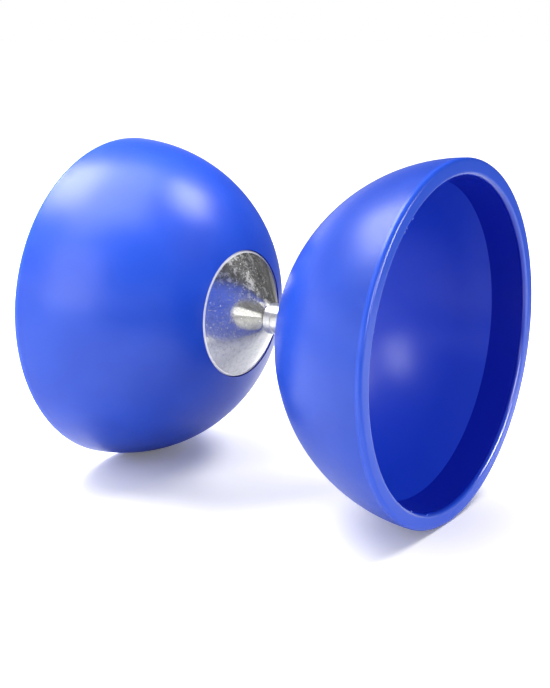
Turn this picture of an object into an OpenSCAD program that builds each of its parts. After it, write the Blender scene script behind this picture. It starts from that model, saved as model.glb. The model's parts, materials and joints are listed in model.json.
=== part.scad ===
// Diabolo (Chinese yo-yo) with a free-running, triple-bearing axle.
// The spin axis is X, the origin is the middle of the axle, Z is up, and all sizes are in millimetres.
// The cups, hubs, shaft and nuts turn together. The string sleeve and the outer rings turn as a second
// group, and each set of balls rolls between the two.

/* [Cups] */
// Outer radius of a cup's rim
rim_r = 62.5; // [57:0.5:68]
// Distance from the middle of the axle to a rim's end face
half_length = 72.15; // [70:0.05:76]
// How far the centre of the spherical outside lies beyond the rim's end face
sphere_offset = 2.0; // [1:0.1:3]
// Width of the flat ring on a rim's end face, rounded edges included
rim_width = 6.0; // [5:0.1:7]
// Depth of the tapered band inside a rim
band_depth = 13.1; // [10:0.1:15]
// How much the inner band narrows over its depth
band_taper = 1.65; // [0.5:0.05:2.5]
// How sharply the bowl's wall turns in from the inner band, in degrees
bowl_crease = 15; // [8:0.5:20]
// Wall thickness of the bowl behind the hub
bowl_wall = 3.6; // [3.4:0.1:4.2]
// Thickness of the cup's flat web, clamped between the hub and the backing plate
web_t = 4.0; // [3.5:0.1:4.5]

/* [Hubs] */
// Radius of the cast metal cone at its edge
hub_r = 23.7; // [22:0.1:24.5]
// Distance from the middle of the axle to the cone's edge
hub_edge_x = 16.7; // [16.2:0.1:17.2]
// Distance from the middle of the axle to a cone's tip
tip_x = 3.6; // [3.5:0.05:4]
// Outer radius of a cone's tip
tip_r = 5.5; // [5.3:0.05:6]

/* [Axle] */
// Outer radius of the string sleeve's collar, which fills the gap between the cone tips
collar_r = 5.75; // [5.5:0.05:6]
// Gap between the collar and a cone's tip
collar_gap = 0.3; // [0.2:0.05:0.4]
// Half the length of the string sleeve, whose thinner ends run inside the cone tips
sleeve_half = 8.0; // [7.6:0.05:8.2]
// Width of the groove turned round the middle of the collar
groove_w = 0.8; // [0.4:0.1:1.2]
// Depth of that groove
groove_depth = 0.4; // [0.2:0.05:0.6]

/* [Bearings] */
// Distance from the middle bearing's centre to an end bearing's centre
bearing_pitch = 6.2; // [6.1:0.05:6.4]
// Radius of one ball
ball_r = 0.45; // [0.42:0.01:0.46]
// Number of balls in each bearing
ball_count = 9; // [7:1:10]

/* [Hidden] */

$fn = 96;

blue = [0.16, 0.24, 0.85];
cast = [0.75, 0.75, 0.77];
steel = [0.62, 0.63, 0.65];
brass = [0.80, 0.66, 0.35];
nylon = [0.90, 0.90, 0.86];

shaft_r = 2.5;        // M5 shaft, which also fits a 5 x 8 x 2.5 mm bearing
bearing_r = 4.0;
bearing_w = 2.5;
slip = 0.01;          // clearance between a part and the seat that it is pushed onto
bore_gap = 0.02;      // clearance of a loose bore on the shaft
run_gap = 0.15;       // clearance between turning parts
rim_round = 1.3;      // rounding of a rim's outer edge
lip_round = 1.8;      // rounding of a rim's inner edge
edge_gap = 0.2;       // groove between the cone's edge and the cup
edge_lip = 0.45;      // radius of the half-round bead along the cone's edge
tip_round = 0.15;
sleeve_end_r = 4.6;
seat_x = 18.3;        // plane where the hub's back meets the cup's web
spigot_r = 7.0;       // boss on the hub's back that centres the cup
plate_r = 16.0;
plate_t = 2.0;
washer_r = 4.6;
washer_t = 1.2;
washer_slot = 1.0;    // split in the spring washer
nut_flats = 8.0;      // width across flats
nut_hex_h = 3.7;
nut_h = 5.0;
nut_collar_r = 3.6;   // round collar that holds the nylon insert
nut_bevel = 0.4;
insert_r = 3.2;
insert_t = 1.2;
insert_cover = 0.3;   // how far the rolled collar reaches over the insert
shaft_over = 2.0;     // thread left standing beyond the nut
shim_t = 1.0;
inner_spacer_r = 3.1; // outside of the rings between inner rings
outer_spacer_r = 3.5; // inside of the rings between outer rings
ring_land_r = 2.98;   // outside of a bearing's inner ring
race_land_r = 3.52;   // inside of a bearing's outer ring
shield_t = 0.15;
shield_in = 0.08;     // how far a shield sits inside the bearing's side face
shield_inner_r = 3.05;
shield_outer_r = 3.62;
race_gap = 0.01;      // clearance between a ball and the bottom of its groove
race_r = 0.47;        // radius of the grooves' cross-section
cage_half = 0.72;
cage_wall = 0.32;
pocket_gap = 0.03;
chamfer = 0.3;
round_steps = 8;      // straight steps in a small rounding
bowl_steps = 40;      // straight steps in a cup's large arcs
past = 1.0;           // how far a cutting tool runs past the piece that it cuts

// Places that follow from the sizes above
collar_half = tip_x - collar_gap;
web_in_x = seat_x + web_t;
plate_out_x = web_in_x + plate_t;
washer_out_x = plate_out_x + washer_t;
nut_out_x = washer_out_x + nut_h;
shaft_half = nut_out_x + shaft_over;
sphere_x = half_length + sphere_offset;
ball_pitch_r = (shaft_r + bearing_r) / 2;
spacer_half = bearing_pitch - bearing_w / 2;
stack_half = bearing_pitch + bearing_w / 2;
counterbore_x = stack_half + shim_t;

// The bowl's wall leaves the foot of the inner band as a cone, at bowl_a to the axis. The cone runs into a
// sphere with its centre on the axis, where the wall is bowl_wall thick.
band_foot_x = half_length - band_depth;
band_foot_r = rim_r - rim_width - band_taper;
bowl_back_x = sphere_x - rim_r + bowl_wall;
bowl_a = atan2(band_taper, band_depth - lip_round) + bowl_crease;
bowl_x = (bowl_back_x - band_foot_x * sin(bowl_a) + band_foot_r * cos(bowl_a)) / (1 - sin(bowl_a));
bowl_r = bowl_x - bowl_back_x;

// Points of an arc about (cx, cr), from angle a0 to a1 in degrees, measured from the +X axis
function arc(cx, cr, r, a0, a1, n) =
    [for (i = [0 : n]) let (a = a0 + (a1 - a0) * i / n) [cx + r * cos(a), cr + r * sin(a)]];

// Turns a profile of [x, radius] points about the X axis
module turned(points) {
    rotate([0, 90, 0]) rotate([0, 0, 180]) rotate_extrude() polygon([for (p = points) [p[1], p[0]]]);
}

// A plain ring about the X axis, from x0 to x1
module ring(x0, x1, r_in, r_out) {
    turned([[x0, r_in], [x1, r_in], [x1, r_out], [x0, r_out]]);
}

// A ring with its four edges chamfered by c
module soft_ring(x0, x1, r_in, r_out, c) {
    turned([[x0, r_in + c], [x0 + c, r_in], [x1 - c, r_in], [x1, r_in + c],
        [x1, r_out - c], [x1 - c, r_out], [x0 + c, r_out], [x0, r_out - c]]);
}

// Cup on the +X side
module cup() {
    // the rounding at the rim's outer edge is tangent to the sphere and to the end face
    round_x = half_length - rim_round;
    outer_round_r = sqrt(pow(rim_r - rim_round, 2) - pow(sphere_x - round_x, 2));
    touch_a = atan2(outer_round_r, round_x - sphere_x);
    lip_r = rim_r - rim_width + lip_round;
    recess_r = hub_r + edge_gap;
    hole_r = spigot_r + bore_gap;
    outer_a = 180 - asin(recess_r / rim_r);
    bowl_a0 = 90 + bowl_a;
    bowl_a1 = 180 - acos((bowl_x - web_in_x) / bowl_r);
    first_step = touch_a / round_steps;
    color(blue) turned(concat(
        [[web_in_x, hole_r], [seat_x, hole_r], [seat_x, recess_r]],
        arc(sphere_x, 0, rim_r, outer_a, touch_a, bowl_steps),
        arc(round_x, outer_round_r, rim_round, touch_a - first_step, 0, round_steps - 1),
        arc(half_length - lip_round, lip_r, lip_round, 0, -90, round_steps),
        [[band_foot_x, band_foot_r]],
        arc(bowl_x, 0, bowl_r, bowl_a0, bowl_a1, bowl_steps)));
}

// Cast metal hub on the +X side: straight cone, counterbore for the sleeve's end, bead and spigot
module hub() {
    bore_r = shaft_r + bore_gap;
    end_clear_r = sleeve_end_r + run_gap;
    back_r = hub_r - 2 * edge_lip;
    spigot_end_x = web_in_x - edge_gap;
    color(cast) turned(concat(
        [[counterbore_x, bore_r], [counterbore_x, end_clear_r], [tip_x, end_clear_r],
            [tip_x, tip_r - tip_round], [tip_x + tip_round, tip_r]],
        arc(hub_edge_x + edge_lip, hub_r - edge_lip, edge_lip, 150, 0, 2 * round_steps),
        [[hub_edge_x + 2 * edge_lip, back_r], [seat_x, back_r], [seat_x, spigot_r],
            [spigot_end_x, spigot_r], [spigot_end_x, bore_r]]));
}

// Steel shaft through everything, chamfered at both ends
module shaft() {
    end_c = 0.6;
    color(steel) turned([[-shaft_half, 0], [-shaft_half, shaft_r - end_c], [-shaft_half + end_c, shaft_r],
        [shaft_half - end_c, shaft_r], [shaft_half, shaft_r - end_c], [shaft_half, 0]]);
}

// Right half of the sleeve's outline, from the groove at its middle to its end
function sleeve_outline() =
    let (groove_r = collar_r - groove_depth, groove_half = groove_w / 2)
    [[groove_half - groove_depth / 2, groove_r], [groove_half, collar_r],
        [collar_half - chamfer, collar_r], [collar_half, collar_r - chamfer],
        [collar_half, sleeve_end_r], [sleeve_half - chamfer, sleeve_end_r],
        [sleeve_half, sleeve_end_r - chamfer]];

// Sleeve with the grooved collar that the string runs on
module string_sleeve() {
    bore_r = bearing_r + slip;
    outline = sleeve_outline();
    last = len(outline) - 1;
    color(steel) turned(concat(
        [[-sleeve_half, bore_r]],
        [for (i = [last : -1 : 0]) [-outline[i][0], outline[i][1]]],
        outline,
        [[sleeve_half, bore_r]]));
}

// The pieces of one ball bearing, with its middle at x
module inner_ring(x) {
    groove_r = ball_pitch_r - ball_r - race_gap + race_r;
    half = bearing_w / 2;
    groove_a = asin((groove_r - ring_land_r) / race_r);
    color(steel) turned(concat(
        [[x - half, shaft_r + slip], [x - half, ring_land_r]],
        arc(x, groove_r, race_r, 180 + groove_a, 360 - groove_a, 10),
        [[x + half, ring_land_r], [x + half, shaft_r + slip]]));
}

module outer_ring(x) {
    groove_r = ball_pitch_r + ball_r + race_gap - race_r;
    half = bearing_w / 2;
    step = half - shield_in - shield_t;
    seat_r = shield_outer_r + slip;
    groove_a = asin((race_land_r - groove_r) / race_r);
    color(steel) turned(concat(
        [[x + half, bearing_r], [x + half, seat_r], [x + step, seat_r], [x + step, race_land_r]],
        arc(x, groove_r, race_r, groove_a, 180 - groove_a, 10),
        [[x - step, race_land_r], [x - step, seat_r], [x - half, seat_r], [x - half, bearing_r]]));
}

module at_balls(x) {
    for (i = [0 : ball_count - 1])
        rotate([i * 360 / ball_count, 0, 0]) translate([x, 0, ball_pitch_r]) children();
}

module balls(x) {
    color(steel) at_balls(x) sphere(ball_r, $fn = 24);
}

module cage(x) {
    color(brass) difference() {
        ring(x - cage_half, x + cage_half, ball_pitch_r - cage_wall / 2, ball_pitch_r + cage_wall / 2);
        at_balls(x) sphere(ball_r + pocket_gap, $fn = 24);
    }
}

module shields(x) {
    outside = bearing_w / 2 - shield_in;
    color(cast) {
        ring(x + outside - shield_t + slip, x + outside, shield_inner_r, shield_outer_r);
        ring(x - outside, x - outside + shield_t - slip, shield_inner_r, shield_outer_r);
    }
}

// Spacers between the bearings, on the +X side
module inner_spacer() {
    color(steel) ring(bearing_w / 2, spacer_half, shaft_r + bore_gap, inner_spacer_r);
}

module outer_spacer() {
    color(steel) ring(bearing_w / 2, spacer_half, outer_spacer_r, bearing_r - slip);
}

// Shim between the end bearing's inner ring and the hub, on the +X side
module end_shim() {
    color(brass) ring(stack_half, counterbore_x, shaft_r + bore_gap, inner_spacer_r);
}

// Fastening stack inside the cup on the +X side
module backing_plate() {
    color(cast) soft_ring(web_in_x, plate_out_x, shaft_r + bore_gap, plate_r, chamfer);
}

module spring_washer() {
    color(steel) difference() {
        ring(plate_out_x, washer_out_x, shaft_r + bore_gap, washer_r);
        translate([plate_out_x - past, -washer_slot / 2, 0])
            cube([washer_t + 2 * past, washer_slot, washer_r + past]);
    }
}

module lock_nut() {
    corner_r = nut_flats / sqrt(3);
    over_r = corner_r + slip;
    hex_out_x = washer_out_x + nut_hex_h;
    insert_x = nut_out_x - insert_t - insert_cover;
    cover_x = insert_x + insert_t + slip;
    bore_r = shaft_r + bore_gap;
    color(steel) difference() {
        union() {
            intersection() {
                translate([washer_out_x, 0, 0]) rotate([0, 90, 0])
                    cylinder(nut_hex_h, r = corner_r, $fn = 6);
                turned([[washer_out_x, 0], [washer_out_x, nut_flats / 2],
                    [washer_out_x + nut_bevel, over_r], [hex_out_x - nut_bevel, over_r],
                    [hex_out_x, nut_flats / 2], [hex_out_x, 0]]);
            }
            turned([[hex_out_x - past, 0], [hex_out_x - past, nut_collar_r],
                [nut_out_x - chamfer, nut_collar_r], [nut_out_x, nut_collar_r - chamfer], [nut_out_x, 0]]);
        }
        turned([[washer_out_x - past, 0], [washer_out_x - past, bore_r], [insert_x, bore_r],
            [insert_x, insert_r + slip], [cover_x, insert_r + slip], [cover_x, insert_r - chamfer],
            [nut_out_x + past, insert_r - chamfer], [nut_out_x + past, 0]]);
    }
}

module nut_insert() {
    insert_x = nut_out_x - insert_t - insert_cover;
    color(nylon) ring(insert_x + slip, insert_x + insert_t, shaft_r + slip, insert_r);
}

module left() {
    mirror([1, 0, 0]) children();
}

module both_sides() {
    children();
    left() children();
}

left() cup();  // left_cup
cup();  // right_cup
left() hub();  // left_hub
hub();  // right_hub
shaft();
string_sleeve();
inner_ring(-bearing_pitch);  // left_inner_ring
outer_ring(-bearing_pitch);  // left_outer_ring
balls(-bearing_pitch);  // left_balls
cage(-bearing_pitch);  // left_cage
shields(-bearing_pitch);  // left_shields
inner_ring(0);  // middle_inner_ring
outer_ring(0);  // middle_outer_ring
balls(0);  // middle_balls
cage(0);  // middle_cage
shields(0);  // middle_shields
inner_ring(bearing_pitch);  // right_inner_ring
outer_ring(bearing_pitch);  // right_outer_ring
balls(bearing_pitch);  // right_balls
cage(bearing_pitch);  // right_cage
shields(bearing_pitch);  // right_shields
left() inner_spacer();  // left_inner_spacer
inner_spacer();  // right_inner_spacer
left() outer_spacer();  // left_outer_spacer
outer_spacer();  // right_outer_spacer
left() end_shim();  // left_end_shim
end_shim();  // right_end_shim
left() backing_plate();  // left_backing_plate
backing_plate();  // right_backing_plate
both_sides() spring_washer();  // spring_washers
both_sides() lock_nut();  // lock_nuts
both_sides() nut_insert();  // nut_inserts
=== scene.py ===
"""Looks of the diabolo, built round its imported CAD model. Lengths are in metres, and the spin axis is X."""

import json
import math
import random

import bmesh
import bpy
import numpy as np
from mathutils import Matrix, Vector

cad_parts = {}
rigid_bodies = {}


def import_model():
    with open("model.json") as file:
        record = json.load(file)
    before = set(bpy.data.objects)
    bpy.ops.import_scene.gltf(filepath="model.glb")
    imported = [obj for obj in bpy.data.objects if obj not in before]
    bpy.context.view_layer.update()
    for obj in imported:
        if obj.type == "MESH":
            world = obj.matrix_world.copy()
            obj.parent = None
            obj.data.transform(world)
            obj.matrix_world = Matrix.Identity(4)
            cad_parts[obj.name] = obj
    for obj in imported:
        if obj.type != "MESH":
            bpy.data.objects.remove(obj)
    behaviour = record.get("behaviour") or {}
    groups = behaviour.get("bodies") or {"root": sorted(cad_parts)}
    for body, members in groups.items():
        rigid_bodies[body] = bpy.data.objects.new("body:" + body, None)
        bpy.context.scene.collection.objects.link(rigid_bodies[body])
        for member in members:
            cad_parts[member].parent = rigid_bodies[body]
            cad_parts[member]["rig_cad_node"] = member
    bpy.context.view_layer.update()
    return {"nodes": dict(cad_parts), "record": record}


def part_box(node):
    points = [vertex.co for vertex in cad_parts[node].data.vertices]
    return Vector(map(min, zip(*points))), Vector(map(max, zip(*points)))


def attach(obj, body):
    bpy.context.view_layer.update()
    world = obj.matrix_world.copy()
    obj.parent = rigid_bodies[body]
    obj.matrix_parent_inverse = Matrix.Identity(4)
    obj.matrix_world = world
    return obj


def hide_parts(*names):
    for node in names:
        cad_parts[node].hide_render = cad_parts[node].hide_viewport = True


MM = 0.001

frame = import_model()

# ---------------------------------------------------------------------------------------------------
# Places taken from the frame
# ---------------------------------------------------------------------------------------------------

cup_low, cup_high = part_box("right_cup")
rim_x = cup_high.x
rim_r = cup_high.z
floor_z = cup_low.z
hub_foot_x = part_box("right_hub")[1].x
hub_edge_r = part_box("right_hub")[1].z

# ---------------------------------------------------------------------------------------------------
# Meshes
# ---------------------------------------------------------------------------------------------------

def outline_of(node):
    """The closed outline [(x, radius), ...] of a CAD node that was turned about the X axis."""
    mesh = frame["nodes"][node].data
    same = 0.02 * MM
    corners, corner_of = [], []
    for vertex in mesh.vertices:
        x, r = vertex.co.x, math.hypot(vertex.co.y, vertex.co.z)
        near = [i for i, (cx, cr) in enumerate(corners) if max(abs(cx - x), abs(cr - r)) < same]
        if not near:
            near = [len(corners)]
            corners.append((x, r))
        corner_of.append(near[0])
    beside = [set() for _ in corners]
    for edge in mesh.edges:
        a, b = (corner_of[v] for v in edge.vertices)
        if a != b:
            beside[a].add(b)
            beside[b].add(a)
    walk = [max(range(len(corners)), key=lambda i: corners[i][1])]
    while True:
        onward = [i for i in beside[walk[-1]] if i not in walk]
        if not onward:
            break
        walk.append(min(onward, key=lambda i: math.dist(corners[i], corners[walk[-1]])))
    if len(walk) != len(corners) or walk[0] not in beside[walk[-1]]:
        raise ValueError(f"{node} is not a plain turned shape")
    return [corners[i] for i in walk]


def refined(outline, longest, smooth_deg=13, step_deg=5):
    """The same closed outline inside the same length and radius, with its shallow corners as smooth curves.

    A corner of less than smooth_deg is shallow. Each stretch between two corners becomes a cubic curve, in
    steps that are no longer than longest and turn by about step_deg at most.
    """
    def heading(a, b):
        return np.array((b[0] - a[0], b[1] - a[1])) / math.dist(a, b)

    count = len(outline)
    into = [heading(outline[i - 1], outline[i]) for i in range(count)]
    points = []
    for i, here in enumerate(outline):
        there = outline[(i + 1) % count]
        before, along, after = into[i], into[(i + 1) % count], into[(i + 2) % count]
        limit = math.cos(math.radians(smooth_deg))
        start = before + along if before @ along > limit else along
        end = along + after if along @ after > limit else along
        length = math.dist(here, there)
        start, end = (v / np.linalg.norm(v) for v in (start, end))
        turn = math.degrees(math.acos(min(1, start @ end)))
        parts = max(1, math.ceil(length / longest), math.ceil(turn / step_deg))
        start, end = start * length, end * length
        for k in range(parts):
            t = k / parts
            point = np.array(here) * (2 * t**3 - 3 * t**2 + 1) + np.array(there) * (3 * t**2 - 2 * t**3)
            point = point + start * (t**3 - 2 * t**2 + t) + end * (t**3 - t**2)
            points.append(tuple(point))
    return [tuple(p) for p in np.clip(points, np.min(outline, axis=0), np.max(outline, axis=0))]


def mesh_object(name, bm, sharp_deg=12):
    """A new object from a bmesh, smooth except along edges sharper than sharp_deg."""
    bmesh.ops.recalc_face_normals(bm, faces=bm.faces)
    for face in bm.faces:
        face.smooth = True
    mesh = bpy.data.meshes.new(name)
    bm.to_mesh(mesh)
    bm.free()
    mesh.set_sharp_from_angle(angle=math.radians(sharp_deg))
    piece = bpy.data.objects.new(name, mesh)
    bpy.context.scene.collection.objects.link(piece)
    return piece


def ring_of(bm, x, radius_at, steps):
    """Points round the X axis at this x. radius_at(angle) is their distance from the axis."""
    ring = []
    for i in range(steps):
        angle = 2 * math.pi * i / steps
        r = radius_at(angle)
        ring.append(bm.verts.new((x, r * math.cos(angle), r * math.sin(angle))))
    return ring


def skin(bm, rings):
    """Faces between each ring and the next."""
    steps = len(rings[0])
    for a, b in zip(rings, rings[1:]):
        for i in range(steps):
            j = (i + 1) % steps
            bm.faces.new((a[i], a[j], b[j], b[i]))


def turned_piece(name, node, body, steps, longest):
    """A finely meshed piece that stands for a turned CAD node."""
    bm = bmesh.new()
    rings = [ring_of(bm, x, lambda angle: r, steps) for x, r in refined(outline_of(node), longest)]
    skin(bm, rings + rings[:1])
    piece = mesh_object(name, bm)
    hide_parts(node)
    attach(piece, body)
    return piece


def shaft_piece(name):
    """The steel shaft with a coarse M5 thread at each end, cut below the CAD shaft's surface."""
    half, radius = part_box("shaft")[1].x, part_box("shaft")[1].z
    pitch, depth, end_bevel = 0.8 * MM, 0.45 * MM, 0.6 * MM
    thread_start = hub_foot_x - 3 * MM
    fine, steps = pitch / 10, 48

    def groove(x, angle):
        """Depth of the thread's trapezoid groove, which fades in over the first pitch."""
        turn = (abs(x) / pitch + math.copysign(1, x) * angle / (2 * math.pi)) % 1
        flank = min(turn, 1 - turn) * 2
        runout = min(1, max(0, (abs(x) - thread_start) / pitch))
        return depth * runout * max(0, min(1, 1.2 - 1.5 * flank))

    def threaded_ring(x):
        limit = radius - max(0, end_bevel - (half - abs(x)))
        return ring_of(bm, x, lambda angle: min(limit, radius - groove(x, angle)), steps)

    xs = [thread_start + fine * i for i in range(int((half - thread_start) / fine) + 1)] + [half]
    bm = bmesh.new()
    rings = [threaded_ring(x) for x in [-x for x in reversed(xs)] + xs]
    skin(bm, rings)
    for ring, x in ((rings[0], -half), (rings[-1], half)):
        centre = bm.verts.new((x, 0, 0))
        for i in range(steps):
            bm.faces.new((ring[i], ring[(i + 1) % steps], centre))
    piece = mesh_object(name, bm, sharp_deg=50)
    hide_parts("shaft")
    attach(piece, "spinner")
    return piece


def add_burrs(piece, node, groups):
    """Tiny moulding burrs on the rounded inner edge of a cup's rim, as groups of
    (how many, angle about the axis, spread) in degrees."""
    draw = random.Random(7)
    on_face = [v.co for v in frame["nodes"][node].data.vertices if v.co.x > rim_x - 0.01 * MM]
    face_r = min(math.hypot(co.y, co.z) for co in on_face)
    bm = bmesh.new()
    bm.from_mesh(piece.data)
    for count, middle, spread in groups:
        for _ in range(count):
            angle = math.radians(draw.gauss(middle, spread))
            size = draw.uniform(0.30, 0.52) * MM
            place = Matrix.Translation((rim_x - 0.66 * MM, face_r - draw.uniform(1.3, 1.5) * MM, 0))
            shape = Matrix.Diagonal((size, size, size * draw.uniform(0.8, 1.6), 1))
            turn = Matrix.Rotation(angle, 4, "X")
            bmesh.ops.create_icosphere(bm, subdivisions=2, radius=1, matrix=turn @ place @ shape)
    for face in bm.faces:
        face.smooth = True
    bm.to_mesh(piece.data)
    bm.free()


# ---------------------------------------------------------------------------------------------------
# Materials
# ---------------------------------------------------------------------------------------------------

class Look:
    """A material under construction: short calls that add nodes and join them."""

    def __init__(self, name, colour, metallic, roughness):
        self.material = bpy.data.materials.new(name)
        self.material.use_nodes = True
        self.tree = self.material.node_tree
        self.surface = self.tree.nodes["Principled BSDF"]
        self.surface.inputs["Base Color"].default_value = (*colour, 1)
        self.surface.inputs["Metallic"].default_value = metallic
        self.surface.inputs["Roughness"].default_value = roughness
        coords = self.node("ShaderNodeTexCoord")
        self.place = coords.outputs["Object"]
        self.facing = coords.outputs["Normal"]
        self.normal = None

    def node(self, kind, **settings):
        made = self.tree.nodes.new(kind)
        for key, value in settings.items():
            setattr(made, key, value)
        return made

    def join(self, value, socket):
        if isinstance(value, bpy.types.NodeSocket):
            self.tree.links.new(value, socket)
        else:
            socket.default_value = value

    def math(self, operation, a, b):
        made = self.node("ShaderNodeMath", operation=operation)
        self.join(a, made.inputs[0])
        self.join(b, made.inputs[1])
        return made.outputs[0]

    def plus(self, a, b):
        return self.math("ADD", a, b)

    def minus(self, a, b):
        return self.math("SUBTRACT", a, b)

    def times(self, a, b):
        return self.math("MULTIPLY", a, b)

    def noise(self, size, detail=3.0, rough=0.5, place=None):
        """Noise from 0 to 1 whose blotches are about size metres across."""
        made = self.node("ShaderNodeTexNoise")
        self.join(place or self.place, made.inputs["Vector"])
        made.inputs["Scale"].default_value = 1 / size
        made.inputs["Detail"].default_value = detail
        made.inputs["Roughness"].default_value = rough
        return made.outputs["Fac"]

    def cells(self, size):
        """Distance from the middle of the nearest cell. Cells are about size metres across."""
        made = self.node("ShaderNodeTexVoronoi")
        self.join(self.place, made.inputs["Vector"])
        made.inputs["Scale"].default_value = 1 / size
        return made.outputs["Distance"]

    def band(self, value, low, high, out_low=0.0, out_high=1.0):
        """value from low to high becomes out_low to out_high, and stays inside them."""
        made = self.node("ShaderNodeMapRange", clamp=True, interpolation_type="SMOOTHSTEP")
        for socket, number in zip(list(made.inputs)[:5], (value, low, high, out_low, out_high)):
            self.join(number, socket)
        return made.outputs["Result"]

    def mix(self, share, a, b):
        """Colour a at share 0 and b at share 1."""
        made = self.node("ShaderNodeMix", data_type="RGBA")
        sockets = [s for s in made.inputs if s.enabled]
        for socket, value in zip(sockets, (share, a, b)):
            self.join((*value, 1) if isinstance(value, tuple) else value, socket)
        return [s for s in made.outputs if s.enabled][0]

    def radius(self):
        """Distance from the X axis."""
        return self.distance(keep=(0, 1, 1))

    def inward(self):
        """1 where the surface faces the X axis, and -1 where it faces away from it."""
        dot = self.node("ShaderNodeVectorMath", operation="DOT_PRODUCT")
        self.join(self.stretched((0, -1, -1)), dot.inputs[0])
        self.join(self.facing, dot.inputs[1])
        return self.math("DIVIDE", dot.outputs["Value"], self.radius())

    def towards(self, degrees):
        """1 on the side of the X axis that lies at this angle about it, and -1 on the opposite side."""
        angle = math.radians(degrees)
        dot = self.node("ShaderNodeVectorMath", operation="DOT_PRODUCT")
        self.join(self.place, dot.inputs[0])
        dot.inputs[1].default_value = (0, math.cos(angle), math.sin(angle))
        return self.math("DIVIDE", dot.outputs["Value"], self.radius())

    def distance(self, keep):
        """Distance from the origin along the axes that keep marks with 1."""
        length = self.node("ShaderNodeVectorMath", operation="LENGTH")
        self.join(self.stretched(keep), length.inputs[0])
        return length.outputs["Value"]

    def axial(self):
        """Distance from the middle plane, the same on both sides."""
        return self.distance(keep=(1, 0, 0))

    def stretched(self, factors):
        """The place with each axis multiplied by its factor."""
        made = self.node("ShaderNodeVectorMath", operation="MULTIPLY")
        self.join(self.place, made.inputs[0])
        made.inputs[1].default_value = factors
        return made.outputs[0]

    def lathe_place(self):
        """A place that changes only across turning marks: along X on round faces, by radius on flat ones."""
        across = self.plus(self.axial(), self.radius())
        made = self.node("ShaderNodeCombineXYZ")
        self.join(across, made.inputs[0])
        return made.outputs[0]

    def bump(self, height, metres, strength=1.0):
        made = self.node("ShaderNodeBump")
        made.inputs["Strength"].default_value = strength
        made.inputs["Distance"].default_value = metres
        self.join(height, made.inputs["Height"])
        if self.normal:
            self.join(self.normal, made.inputs["Normal"])
        self.normal = made.outputs["Normal"]

    def done(self, colour=None, roughness=None, **others):
        if colour is not None:
            self.join(colour, self.surface.inputs["Base Color"])
        if roughness is not None:
            self.join(roughness, self.surface.inputs["Roughness"])
        if self.normal:
            self.join(self.normal, self.surface.inputs["Normal"])
        for key, value in others.items():
            self.join(value, self.surface.inputs[key.replace("_", " ")])
        return self.material


def cup_plastic():
    """Satin moulded plastic in saturated blue, with faint flow marks, dust-sized pips and a handled rim. Its
    inside and its rim face are painted lighter as painted light, and the band wall inside the rim darker as
    painted shade.
    """
    look = Look("cup_blue", (0.010, 0.060, 0.50), 0.0, 0.35)
    blotch = look.noise(22 * MM, detail=2)
    grain = look.noise(0.9 * MM, detail=3)
    scuff = look.noise(5 * MM, detail=6, rough=0.7)
    pip = look.band(look.cells(7 * MM), 0.0, 0.05, 1.0, 0.0)

    # Each of these is 1 on one part of the cup and fades to 0 off it.
    inward = look.inward()
    inside = look.band(inward, 0.15, 0.5)
    band_wall_painted_shade = look.band(inward, 0.93, 0.98)
    near_rim = look.band(look.axial(), rim_x - 9 * MM, rim_x)
    rim = look.band(look.axial(), rim_x - 2.4 * MM, rim_x - 1.8 * MM)
    off_rim = look.minus(1.0, rim)
    rim_face_painted_light = look.times(rim, look.band(inward, 0.5, 0.9, 1.0, 0.0))
    inner_lip = look.times(rim, look.band(inward, 0.2, 0.4))
    scuffed = look.times(near_rim, look.band(scuff, 0.52, 0.75))

    colour = look.mix(look.band(blotch, 0.3, 0.7), (0.008, 0.055, 0.48), (0.011, 0.065, 0.52))
    colour = look.mix(look.times(scuffed, 0.15), colour, (0.03, 0.10, 0.58))
    # Painted light: the inside of the cup is painted a lighter blue than its outside.
    colour = look.mix(inside, colour, (0.009, 0.047, 0.58))
    # Painted shade: the band wall just inside the rim is painted a darker blue.
    colour = look.mix(band_wall_painted_shade, colour, (0.005, 0.018, 0.43))
    # Painted light: the rim's flat end face is painted a lighter blue.
    colour = look.mix(rim_face_painted_light, colour, (0.018, 0.085, 0.66))

    uneven = look.plus(look.band(grain, 0.3, 0.7, -0.03, 0.03), look.times(scuffed, 0.12))
    polish = look.plus(look.times(rim, 0.08), look.times(inner_lip, 0.06))
    rough = look.minus(look.plus(look.times(uneven, off_rim), 0.33), polish)

    shine = look.minus(look.band(inward, 0.15, 0.5, 0.5, 0.36), look.times(band_wall_painted_shade, 0.16))
    shine = look.plus(shine, look.times(inner_lip, 0.5))

    look.bump(look.noise(14 * MM, detail=1), 0.25 * MM, 0.35)
    look.bump(look.times(grain, off_rim), 0.010 * MM, 0.5)
    look.bump(look.times(pip, off_rim), 0.08 * MM, 0.6)
    return look.done(colour, rough, Specular_IOR_Level=shine)


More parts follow.
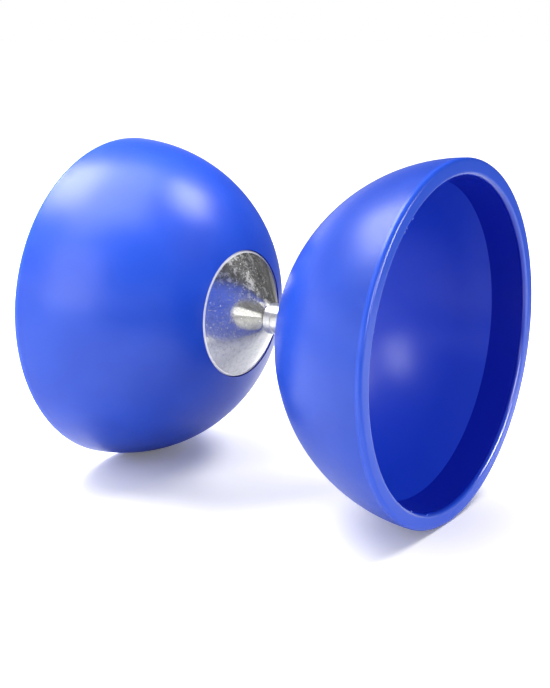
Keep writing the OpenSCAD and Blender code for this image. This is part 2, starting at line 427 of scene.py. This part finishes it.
def cast_metal():
    """Polished die-cast alloy: a mirror with a slight haze, and with pits, stains and polishing streaks.

    One side of the cone, its top, is left rougher by the polishing wheel and is painted darker in mottles as
    painted shade, and its edge bead and small specks are painted near white as painted highlights.
    """
    look = Look("cast_hub", (0.60, 0.60, 0.59), 1.0, 0.12)
    grain = look.noise(2.2 * MM, detail=6, rough=0.78)
    cloud = look.band(look.noise(5 * MM, detail=3, rough=0.6), 0.30, 0.62, 0.35, 1.0)
    # Painted highlight: specks that are painted near white.
    painted_glint_specks = look.band(look.noise(0.9 * MM, detail=3, rough=0.6), 0.67, 0.71)
    pits = look.band(look.noise(0.5 * MM, detail=4, rough=0.7), 0.60, 0.72)
    stain = look.band(look.noise(1.6 * MM, detail=6, rough=0.75), 0.46, 0.66)
    streak = look.noise(0.30 * MM, detail=3, place=look.stretched((0.25, 1, 1)))

    # 1 on the top of the cone: rougher there, and painted darker there as painted shade.
    rough_and_shaded_top = look.band(look.towards(98), 0.62, 0.84)
    fleck = look.times(look.times(look.band(grain, 0.32, 0.74), cloud), rough_and_shaded_top)
    shade = look.times(look.band(grain, 0.30, 0.66, 1.0, 0.0), rough_and_shaded_top)
    # Painted highlight: the edge bead is painted near white and made less metallic.
    edge = look.band(look.radius(), hub_edge_r - 1.0 * MM, hub_edge_r - 0.7 * MM)
    bright = look.math("MAXIMUM", edge, painted_glint_specks)

    colour = look.mix(look.times(stain, 0.5), (0.64, 0.64, 0.62), (0.36, 0.36, 0.33))
    # Painted shade: the top of the cone is painted darker in mottles.
    colour = look.mix(look.times(shade, 0.55), colour, (0.12, 0.12, 0.11))
    colour = look.mix(look.times(pits, 0.85), colour, (0.08, 0.08, 0.07))
    # Painted highlights: the edge bead and the specks are painted near white.
    colour = look.mix(bright, colour, (0.95, 0.94, 0.88))

    rough = look.plus(look.times(stain, 0.06), 0.09)
    rough = look.plus(rough, look.times(fleck, 0.42))
    rough = look.plus(rough, look.times(bright, 0.3))
    metallic = look.minus(0.94, look.times(edge, 0.70))

    look.bump(look.noise(4 * MM, detail=2), 0.07 * MM, 0.3)
    look.bump(look.noise(0.8 * MM, detail=2), 0.012 * MM, 0.8)
    look.bump(streak, 0.015 * MM, 0.5)
    look.bump(pits, -0.06 * MM, 0.8)
    return look.done(colour, rough, Metallic=metallic, Coat_Weight=1.0, Coat_Roughness=0.6)


def turned_metal(name, shade, dark_shade, roughness, pitch, depth):
    """Turned or ground metal: slightly stained, with fine tool rings of this pitch and depth."""
    look = Look(name, shade, 1.0, roughness)
    rings = look.noise(pitch, detail=2, place=look.lathe_place())
    stain = look.band(look.noise(1.6 * MM, detail=5, rough=0.65), 0.45, 0.72)
    colour = look.mix(look.times(stain, 0.55), shade, dark_shade)
    rough = look.band(rings, 0.3, 0.7, roughness * 0.8, roughness * 1.2)
    rough = look.plus(rough, look.times(stain, 0.10))
    look.bump(rings, depth, 0.6)
    look.bump(look.noise(0.5 * MM, detail=4), depth / 2, 0.3)
    return look.done(colour, rough)


def plated_metal(name, shade, roughness):
    """Bright zinc plating: a little cloudy, with small dents and wear."""
    look = Look(name, shade, 1.0, roughness)
    cloud = look.noise(1.1 * MM, detail=5, rough=0.6)
    pale = tuple(min(1, c * 1.15) for c in shade)
    dark = tuple(c * 0.7 for c in shade)
    colour = look.mix(look.band(cloud, 0.35, 0.7), dark, pale)
    look.bump(cloud, 0.02 * MM, 0.4)
    look.bump(look.noise(0.25 * MM, detail=3), 0.008 * MM, 0.4)
    return look.done(colour, look.band(cloud, 0.3, 0.7, roughness * 0.8, roughness * 1.4))


def nylon():
    """Natural white nylon, faintly waxy and pressed by the thread."""
    look = Look("nylon", (0.82, 0.82, 0.76), 0.0, 0.42)
    cloud = look.noise(0.8 * MM, detail=4)
    colour = look.mix(look.band(cloud, 0.3, 0.7), (0.72, 0.72, 0.66), (0.86, 0.86, 0.80))
    rough = look.band(cloud, 0.3, 0.7, 0.36, 0.5)
    look.bump(cloud, 0.03 * MM, 0.5)
    return look.done(colour, rough, Subsurface_Weight=0.15, Subsurface_Scale=0.4 * MM)


def grey(level):
    return (level, level, level)


looks = {
    "cup_blue": cup_plastic(),
    "cast_hub": cast_metal(),
    "polished_sleeve": turned_metal(
        "polished_sleeve", (0.90, 0.90, 0.89), grey(0.6), 0.32, pitch=0.16 * MM, depth=0.006 * MM),
    "bearing_steel": turned_metal(
        "bearing_steel", (0.66, 0.67, 0.69), (0.40, 0.40, 0.42), 0.16, pitch=0.12 * MM, depth=0.004 * MM),
    "brass": turned_metal(
        "brass", (0.78, 0.57, 0.24), (0.42, 0.28, 0.12), 0.28, pitch=0.2 * MM, depth=0.01 * MM),
    "shield_steel": turned_metal(
        "shield_steel", (0.60, 0.60, 0.62), (0.38, 0.38, 0.40), 0.30, pitch=0.1 * MM, depth=0.006 * MM),
    "spacer_steel": turned_metal(
        "spacer_steel", (0.56, 0.57, 0.59), (0.34, 0.34, 0.36), 0.30, pitch=0.18 * MM, depth=0.01 * MM),
    "plate_aluminium": turned_metal(
        "plate_aluminium", (0.76, 0.77, 0.78), (0.55, 0.55, 0.56), 0.26, pitch=0.3 * MM, depth=0.014 * MM),
    "shaft_steel": plated_metal("shaft_steel", (0.62, 0.63, 0.65), 0.24),
    "ball_steel": plated_metal("ball_steel", (0.82, 0.82, 0.84), 0.06),
    "spring_steel": plated_metal("spring_steel", (0.50, 0.51, 0.53), 0.3),
    "nut_steel": plated_metal("nut_steel", (0.66, 0.67, 0.68), 0.22),
    "nylon": nylon(),
}


def dress(piece, slot):
    """Gives a piece one of the looks as its only material."""
    piece.data.materials.clear()
    piece.data.materials.append(looks[slot])


# ---------------------------------------------------------------------------------------------------
# The pieces
# ---------------------------------------------------------------------------------------------------

cups, hubs = [], []
for side in ("left", "right"):
    cup = turned_piece(f"{side}_cup_shell", f"{side}_cup", "spinner", 256, 2.0 * MM)
    hub = turned_piece(f"{side}_hub_cone", f"{side}_hub", "spinner", 192, 0.8 * MM)
    plate = turned_piece(f"{side}_backing_disc", f"{side}_backing_plate", "spinner", 128, 1.5 * MM)
    dress(cup, "cup_blue")
    dress(hub, "cast_hub")
    dress(plate, "plate_aluminium")
    cups.append(cup)
    hubs.append(hub)
left_cup, right_cup = cups
left_hub, right_hub = hubs
add_burrs(right_cup, "right_cup", ((6, 130, 3), (2, 163, 2), (2, 171, 1), (2, 250, 12)))
dress(turned_piece("grooved_sleeve", "string_sleeve", "sleeve", 128, 0.4 * MM), "polished_sleeve")
dress(shaft_piece("threaded_shaft"), "shaft_steel")

for part in frame["record"]["subparts"]:
    node = frame["nodes"][part["node"]]
    if not node.hide_render:
        dress(node, part["material_slot"])


# ---------------------------------------------------------------------------------------------------
# Floor, light and camera
# ---------------------------------------------------------------------------------------------------

def direction(azimuth, elevation):
    """Unit vector towards a place. Azimuth 0 is -Y, and 90 is +X, in degrees."""
    a, e = math.radians(azimuth), math.radians(elevation)
    return Vector((math.sin(a) * math.cos(e), -math.cos(a) * math.cos(e), math.sin(e)))


def aim(stand, azimuth, elevation):
    """Turns a lamp or a camera so that it looks from this direction towards the origin."""
    stand.rotation_mode = "QUATERNION"
    stand.rotation_quaternion = direction(azimuth, elevation).to_track_quat("Z", "Y")


def softbox(name, place, size, watts, only=(), mirrored=True, matt=True):
    """A rectangular light that faces the origin from place, which is (azimuth, elevation, distance).

    With only, it lights just those pieces. mirrored says whether reflections show it, and matt whether it
    lights dull surfaces.
    """
    azimuth, elevation, distance = place
    lamp = bpy.data.lights.new(name, "AREA")
    lamp.shape = "RECTANGLE"
    lamp.size, lamp.size_y = size
    lamp.energy = watts
    stand = bpy.data.objects.new(name, lamp)
    stand.location = direction(azimuth, elevation) * distance
    aim(stand, azimuth, elevation)
    stand.visible_camera = False
    stand.visible_glossy = mirrored
    stand.visible_diffuse = matt
    bpy.context.scene.collection.objects.link(stand)
    if only:
        lit = bpy.data.collections.new(name + "_lit")
        for piece in only:
            lit.objects.link(piece)
        stand.light_linking.receiver_collection = lit


def pale_floor():
    """A plain floor, white to the eye, that throws less light back from the right and from far behind."""
    half = 60.0
    bm = bmesh.new()
    signs = ((-1, -1), (1, -1), (1, 1), (-1, 1))
    bm.faces.new([bm.verts.new((x * half, y * half, floor_z)) for x, y in signs])
    floor = mesh_object("floor", bm)
    look = Look("floor_paper", grey(0.9), 0.0, 0.7)
    rays = look.node("ShaderNodeLightPath")
    split = look.node("ShaderNodeSeparateXYZ")
    look.join(look.place, split.inputs[0])
    x, y = split.outputs["X"], split.outputs["Y"]

    far = look.band(look.distance(keep=(1, 1, 0)), 0.15, 0.45)
    far_back = look.times(far, look.band(y, -0.1, 0.1))
    right = look.band(x, 0.08, 0.22, 0, 0.8)
    thrown = look.mix(look.math("MAXIMUM", right, far_back), (0.90, 0.90, 0.89), grey(0.15))

    # A brighter patch on the right, which only mirrors see
    patch = look.times(look.band(x, 0.16, 0.26), look.band(y, 0.35, 0.15))
    patch = look.times(patch, look.band(y, -0.15, -0.02))
    patch = look.times(patch, rays.outputs["Is Glossy Ray"])
    thrown = look.mix(patch, thrown, (1.1, 1.1, 1.08))

    seen = rays.outputs["Is Camera Ray"]
    look.surface.inputs["Specular IOR Level"].default_value = 0
    look.surface.inputs["Emission Color"].default_value = (1, 1, 1, 1)
    paper = look.mix(seen, thrown, (1.14, 1.12, 1.06))
    floor.data.materials.append(look.done(paper, Emission_Strength=look.times(seen, 0.13)))
    look.material.cycles.emission_sampling = "NONE"


# Brightness of the surroundings, as stops of (place from 0 to 1, brightness)
MATT_FROM_LEFT_TO_RIGHT = ((0.0, 1.0), (0.42, 0.97), (0.52, 0.14), (0.63, 0.07), (0.85, 0.12), (1.0, 0.22))
MIRRORED_FROM_BACK_TO_FRONT = ((0.0, 0.07), (0.22, 0.07), (0.33, 0.4), (0.5, 0.85), (0.75, 1.0))
MIRRORED_FROM_FLOOR_UP = ((0.0, 0.2), (0.04, 0.2), (0.07, 1.0), (0.20, 1.0), (0.32, 0.14), (1.0, 0.10))


def studio_sky():
    """White to the eye, brighter from the left for matt surfaces, and a room dark overhead for mirrors."""
    world = bpy.data.worlds.new("studio")
    bpy.context.scene.world = world
    world.use_nodes = True
    tree = world.node_tree

    def node(kind):
        return tree.nodes.new(kind)

    def ramp(value, low, high, stops):
        """value from low to high, looked up in stops of (place, brightness)."""
        share = node("ShaderNodeMapRange")
        share.inputs["From Min"].default_value = low
        share.inputs["From Max"].default_value = high
        tree.links.new(value, share.inputs["Value"])
        made = node("ShaderNodeValToRGB")
        tree.links.new(share.outputs[0], made.inputs[0])
        while len(made.color_ramp.elements) < len(stops):
            made.color_ramp.elements.new(0.5)
        for element, (at, level) in zip(made.color_ramp.elements, stops):
            element.position = at
            element.color = (level, level, level, 1)
        return made.outputs[0]

    def light(strength, colour=None):
        made = node("ShaderNodeBackground")
        made.inputs["Color"].default_value = (1, 1, 1, 1)
        made.inputs["Strength"].default_value = strength
        if colour:
            tree.links.new(colour, made.inputs["Color"])
        return made.outputs[0]

    def choose(share, a, b):
        made = node("ShaderNodeMixShader")
        for socket, value in zip(made.inputs, (share, a, b)):
            tree.links.new(value, socket)
        return made.outputs[0]

    split = node("ShaderNodeSeparateXYZ")
    place = node("ShaderNodeTexCoord").outputs["Generated"]
    tree.links.new(place, split.inputs[0])
    matt = light(1.95, ramp(split.outputs["X"], -1, 1, MATT_FROM_LEFT_TO_RIGHT))

    frontward = node("ShaderNodeVectorMath")
    frontward.operation = "DOT_PRODUCT"
    frontward.inputs[1].default_value = (-0.5, -0.87, 0)
    tree.links.new(place, frontward.inputs[0])
    both = node("ShaderNodeMath")
    both.operation = "MULTIPLY"
    tree.links.new(ramp(frontward.outputs["Value"], -1, 1, MIRRORED_FROM_BACK_TO_FRONT), both.inputs[0])
    tree.links.new(ramp(split.outputs["Z"], 0, 1, MIRRORED_FROM_FLOOR_UP), both.inputs[1])
    room = light(1.6, both.outputs[0])

    rays = node("ShaderNodeLightPath")
    seen = choose(rays.outputs["Is Glossy Ray"], matt, room)
    seen = choose(rays.outputs["Is Camera Ray"], seen, light(1.0))
    tree.links.new(seen, tree.nodes["World Output"].inputs["Surface"])


def camera():
    """Stands to the front right of the diabolo and looks slightly down at it."""
    data = bpy.data.cameras.new("camera")
    data.lens = 63.8
    data.sensor_width = 36
    data.clip_start = 0.01
    stand = bpy.data.objects.new("camera", data)
    stand.location = rim_r * Vector((3.949, -5.738, 1.590))
    aim(stand, azimuth=34.71, elevation=14.02)
    bpy.context.scene.collection.objects.link(stand)
    bpy.context.scene.camera = stand


pale_floor()
studio_sky()
all_but_right_cup = [piece for piece in bpy.data.objects if piece.type == "MESH" and piece is not right_cup]
softbox("left_softbox", (-80, 58, 1.0), (0.60, 0.45), 7)
softbox("back_softbox", (150, 56, 1.0), (0.42, 0.34), 5.5, only=all_but_right_cup)
softbox("front_fill", (1, 22, 1.4), (0.9, 1.1), 9, only=[left_cup])
softbox("hub_key", (-1, 24, 2.0), (0.4, 1.1), 4.4, only=[right_hub])
softbox("edge_light", (35, 6, 1.5), (0.5, 0.5), 10, only=[left_hub], mirrored=False)
softbox("overhead", (-50, 80, 1.3), (1.4, 1.2), 22, only=[left_cup])
softbox("left_lift", (100, 30, 1.3), (0.8, 0.8), 5, only=[left_cup], mirrored=False)
softbox("right_lift", (-35, 55, 1.3), (0.8, 0.8), 5, only=[right_cup], mirrored=False)
softbox("right_fill", (90, 16, 1.2), (0.4, 0.4), 8, only=[right_cup], mirrored=False)
softbox("bowl_spot", (71, 18, 1.2), (0.32, 0.45), 4.8, only=[right_cup], matt=False)
softbox("side_key", (114, 13, 1.2), (0.35, 0.45), 10, only=[right_cup], matt=False)
camera()
bpy.context.scene.view_settings.view_transform = "Standard"
